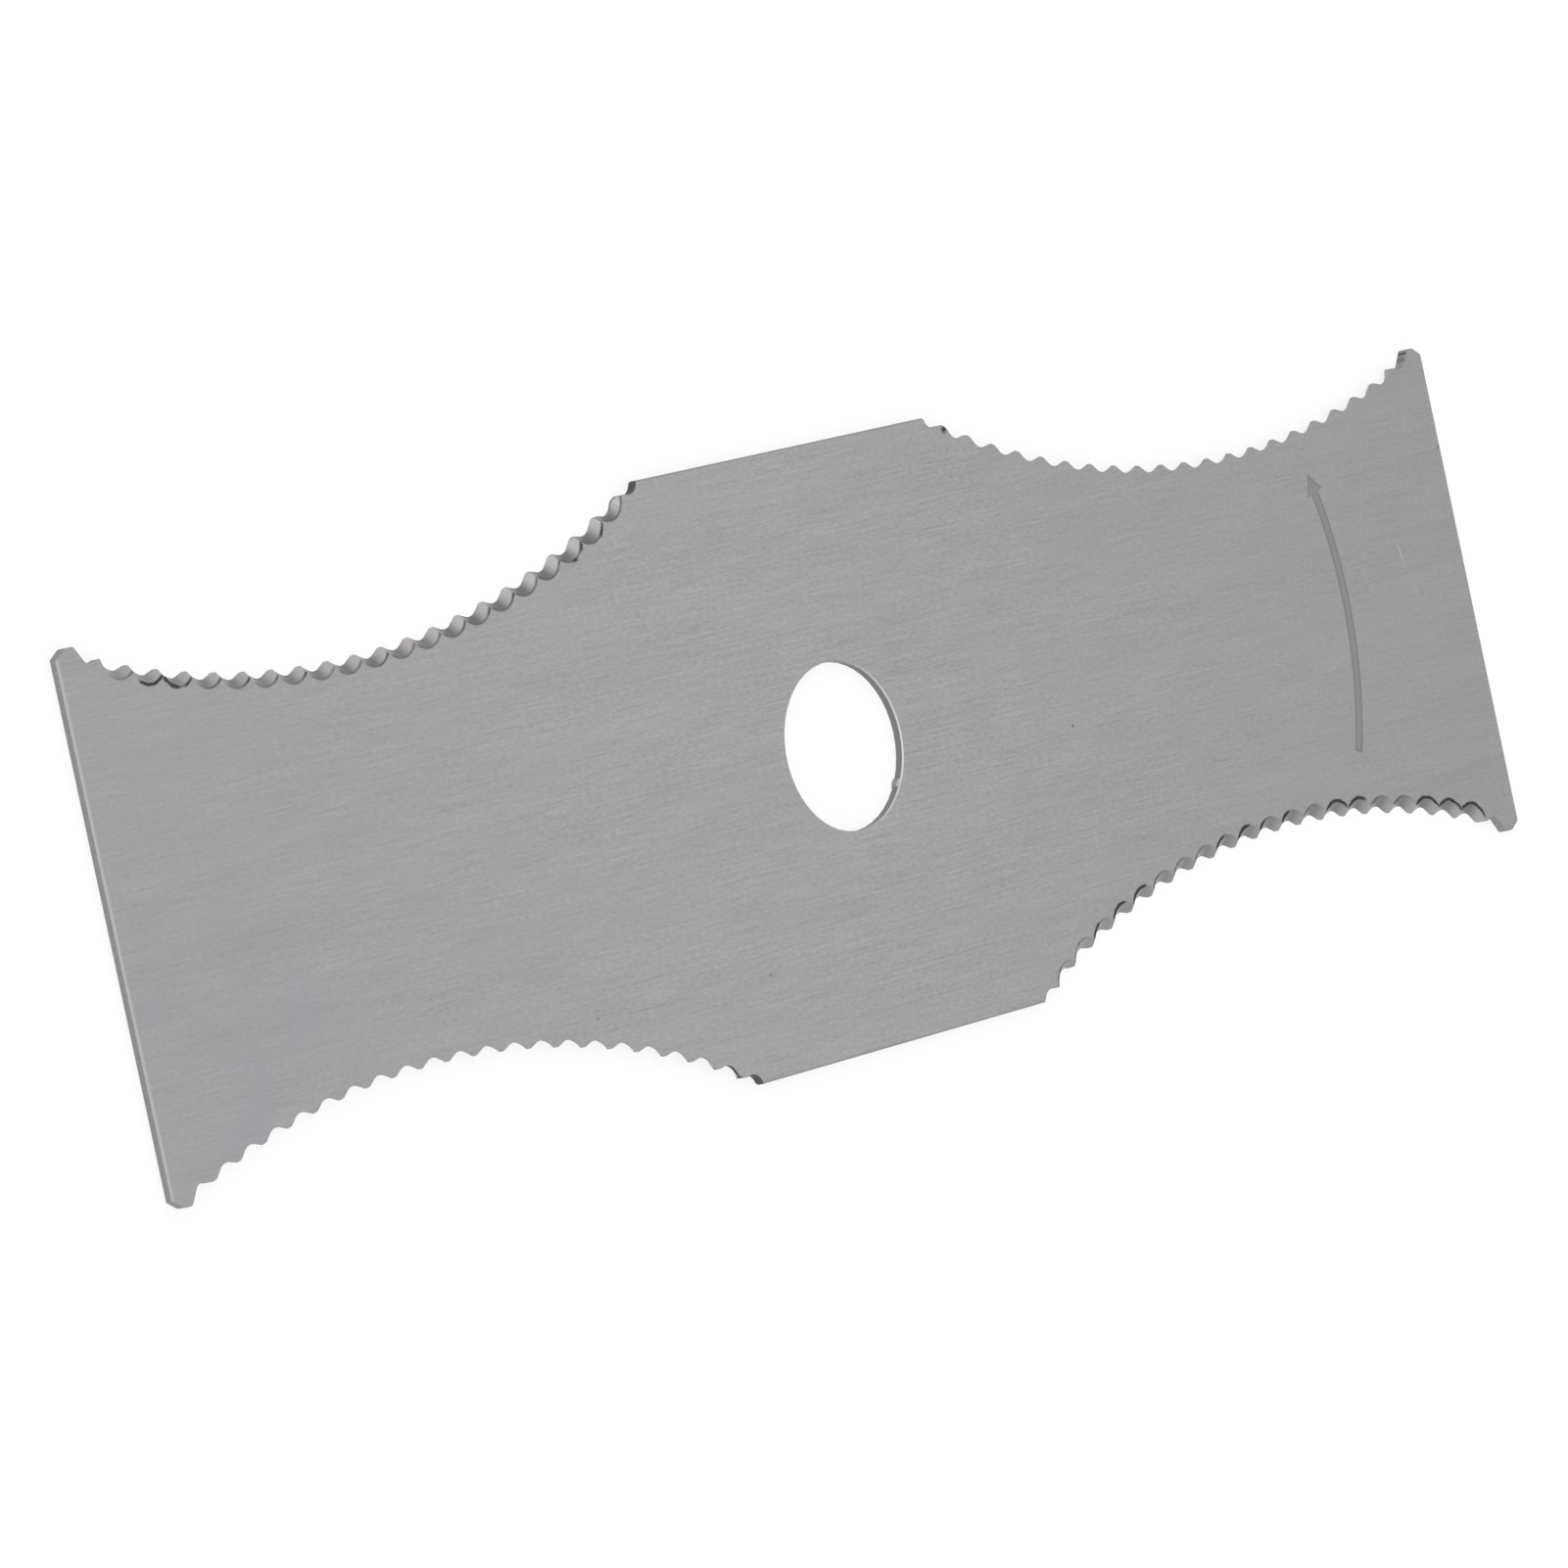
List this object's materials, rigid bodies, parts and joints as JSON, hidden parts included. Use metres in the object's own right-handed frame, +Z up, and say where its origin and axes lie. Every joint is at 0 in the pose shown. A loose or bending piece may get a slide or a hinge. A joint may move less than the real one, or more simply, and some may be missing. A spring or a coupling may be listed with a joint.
{
  "type": "grass trimmer blade",
  "caption": "Flat reversible steel blade for a grass trimmer: round centre bore, wide middle, arms with concave wavy cutting edges ground in flutes, square ends with small horns.",
  "frame": {"origin": "centre of the bore, on the underside that lies on the floor", "axes": "+X along the blade to the end that carries the turning arrow, +Y across the blade, +Z up out of the sheet along the bore"},
  "size_m": [0.305, 0.09, 0.0016],
  "materials": {
    "spring_steel": "rolled and brushed along the length, edges ground bright"
  },
  "bodies": {
    "root": {"blade": "spring_steel"}
  },
  "joints": []
}
